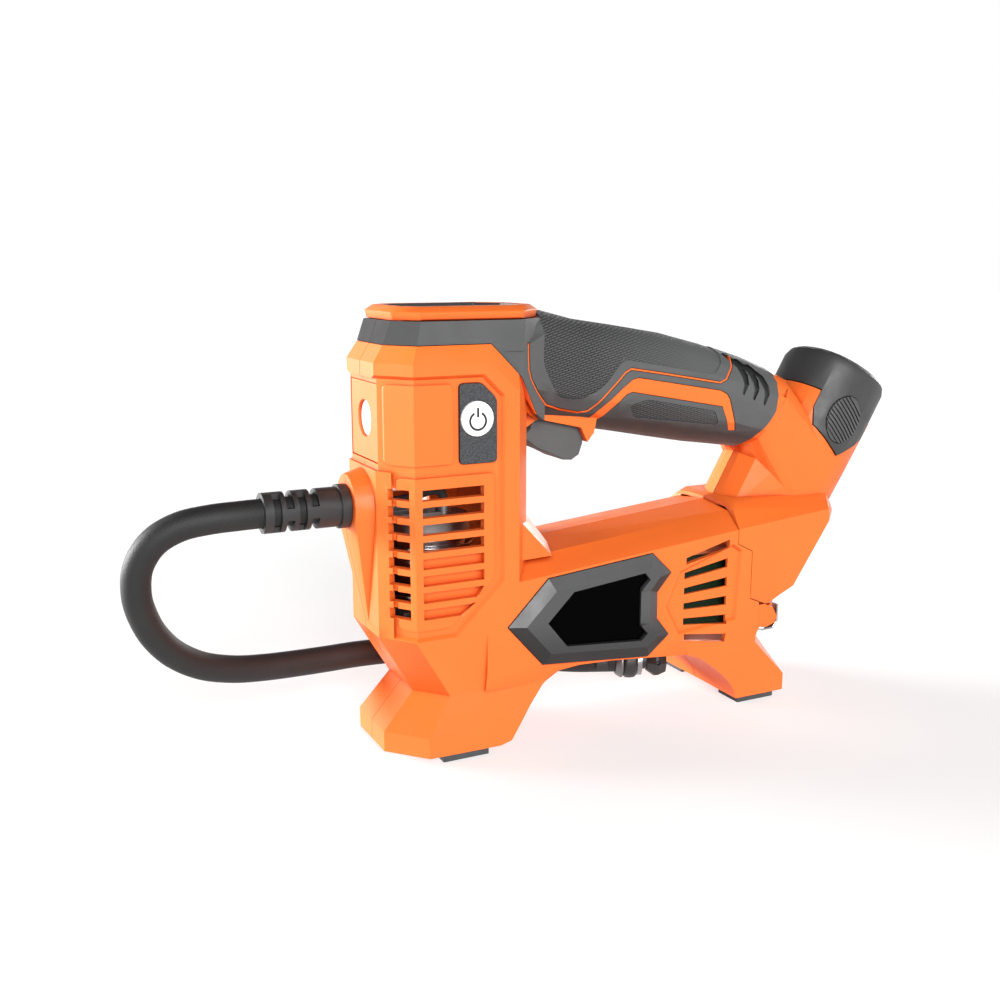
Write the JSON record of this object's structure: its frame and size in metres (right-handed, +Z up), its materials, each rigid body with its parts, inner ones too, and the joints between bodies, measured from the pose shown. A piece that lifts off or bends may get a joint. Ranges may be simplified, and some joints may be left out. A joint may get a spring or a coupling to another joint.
{
  "type": "portable tire inflator",
  "caption": "Handheld cordless tyre inflator with a top gauge, trigger grip, vented motor body on feet, clip-in stick battery and a looped hose with a lever chuck stowed under the body.",
  "frame": {"origin": "on the floor plane under the middle of the body, midway along its length without the hose and on its centre plane", "axes": "+X from the hose outlet to the battery along the length, +Y to the side without the power button, +Z up"},
  "size_m": [0.3588, 0.0776, 0.1836],
  "materials": {
    "orange_shell": "satin moulded plastic, bright orange",
    "soft_grip": "matt soft-touch overmould, mid grey",
    "grey_trim": "satin bevelled plastic, mid grey",
    "black_gloss": "piano black",
    "white_plastic": "smooth white",
    "pad_rubber": "matt rubber",
    "dark_plastic": "fine textured dark grey plastic",
    "steel": "zinc plated or ground steel",
    "chuck_metal": "dark nickel plated steel",
    "brass": "turned brass",
    "alloy": "die-cast aluminium",
    "circuit_board": "green solder mask",
    "clear_lens": "clear moulded lens",
    "hose_rubber": "dark woven-cover rubber hose"
  },
  "bodies": {
    "frame": {"housing_left": "orange_shell", "housing_right": "orange_shell", "rear_housing_left": "orange_shell", "rear_housing_right": "orange_shell", "front_panel": "orange_shell", "gauge_bezel": "orange_shell", "grip_overmold_left": "soft_grip", "grip_overmold_right": "soft_grip", "switch_plate": "soft_grip", "side_trim_left": "grey_trim", "side_trim_right": "grey_trim", "name_plate_left": "black_gloss", "name_plate_right": "black_gloss", "gauge_lens": "black_gloss", "work_light_module": "white_plastic", "foot_pad_front_left": "pad_rubber", "foot_pad_front_right": "pad_rubber", "foot_pad_rear_left": "pad_rubber", "foot_pad_rear_right": "pad_rubber", "air_tube": "pad_rubber", "gauge_fascia": "dark_plastic", "trigger_switch": "dark_plastic", "motor_end_cap": "dark_plastic", "battery_terminals": "dark_plastic", "strain_relief": "dark_plastic", "chuck_clip": "dark_plastic", "tower_screw": "steel", "tail_screw": "steel", "hanging_hook": "steel", "crank_bearing": "steel", "motor_can": "steel", "chuck_lever_pin": "steel", "hose_ferrule": "chuck_metal", "chuck_body": "chuck_metal", "hose_barb": "brass", "pump_frame": "alloy", "cylinder": "alloy", "cylinder_head": "alloy", "gauge_module": "circuit_board", "control_board": "circuit_board", "work_light_lens": "clear_lens", "hose": "hose_rubber"},
    "crank": {"crank_gear": "steel", "crank_disc": "alloy"},
    "rotor": {"motor_shaft": "steel", "armature": "steel", "pinion": "brass", "cooling_fan": "dark_plastic"},
    "rod": {"piston_rod": "alloy", "piston_cup": "pad_rubber"},
    "trigger_body": {"trigger": "soft_grip"},
    "power_body": {"power_button": "white_plastic"},
    "mode_body": {"mode_button": "grey_trim"},
    "minus_body": {"minus_button": "grey_trim"},
    "plus_body": {"plus_button": "grey_trim"},
    "battery": {"battery_cap": "dark_plastic", "battery_stem": "dark_plastic"},
    "latch_left": {"battery_latch_left": "dark_plastic"},
    "latch_right": {"battery_latch_right": "dark_plastic"},
    "lever": {"chuck_lever": "dark_plastic"}
  },
  "joints": [
    {"name": "crank_spin", "type": "hinge", "parent": "frame", "child": "crank", "pos_m": [-0.0826, 0, 0.042], "axis": [1, 0, 0], "continuous": true},
    {"name": "rotor_spin", "type": "hinge", "parent": "frame", "child": "rotor", "pos_m": [-0.0476, 0, 0.058], "axis": [1, 0, 0], "continuous": true},
    {"name": "rod_spin", "type": "hinge", "parent": "crank", "child": "rod", "pos_m": [-0.1016, 0, 0.0455], "axis": [1, 0, 0], "continuous": true},
    {"name": "trigger_pull", "type": "slide", "parent": "frame", "child": "trigger_body", "axis": [0, 0, 1], "range_m": [0, 0.004], "stiffness_N_per_m": 500, "springref_m": -0.002},
    {"name": "power_press", "type": "slide", "parent": "frame", "child": "power_body", "axis": [0, 1, 0], "range_m": [0, 0.0008], "stiffness_N_per_m": 500, "springref_m": -0.0005},
    {"name": "mode_press", "type": "slide", "parent": "frame", "child": "mode_body", "axis": [0, 0, -1], "range_m": [0, 0.0006], "stiffness_N_per_m": 300, "springref_m": -0.0005},
    {"name": "minus_press", "type": "slide", "parent": "frame", "child": "minus_body", "axis": [0, 0, -1], "range_m": [0, 0.0006], "stiffness_N_per_m": 300, "springref_m": -0.0005},
    {"name": "plus_press", "type": "slide", "parent": "frame", "child": "plus_body", "axis": [0, 0, -1], "range_m": [0, 0.0006], "stiffness_N_per_m": 300, "springref_m": -0.0005},
    {"name": "battery_slide", "type": "slide", "parent": "frame", "child": "battery", "axis": [0.5, 0, 0.866], "range_m": [0, 0.09]},
    {"name": "latch_left_press", "type": "slide", "parent": "battery", "child": "latch_left", "axis": [0, 1, 0], "range_m": [0, 0.0016], "stiffness_N_per_m": 500, "springref_m": -0.0005},
    {"name": "latch_right_press", "type": "slide", "parent": "battery", "child": "latch_right", "axis": [0, -1, 0], "range_m": [0, 0.0016], "stiffness_N_per_m": 500, "springref_m": -0.0005},
    {"name": "lever_swing", "type": "hinge", "parent": "frame", "child": "lever", "pos_m": [0.02276, 0.01234, 0.0142], "axis": [0, 0, -1], "range_deg": [0, 60]}
  ],
  "couplings": [
    {"joint": "rotor_spin", "follows": "crank_spin", "ratio": -3},
    {"joint": "rod_spin", "follows": "crank_spin", "ratio": -1}
  ]
}
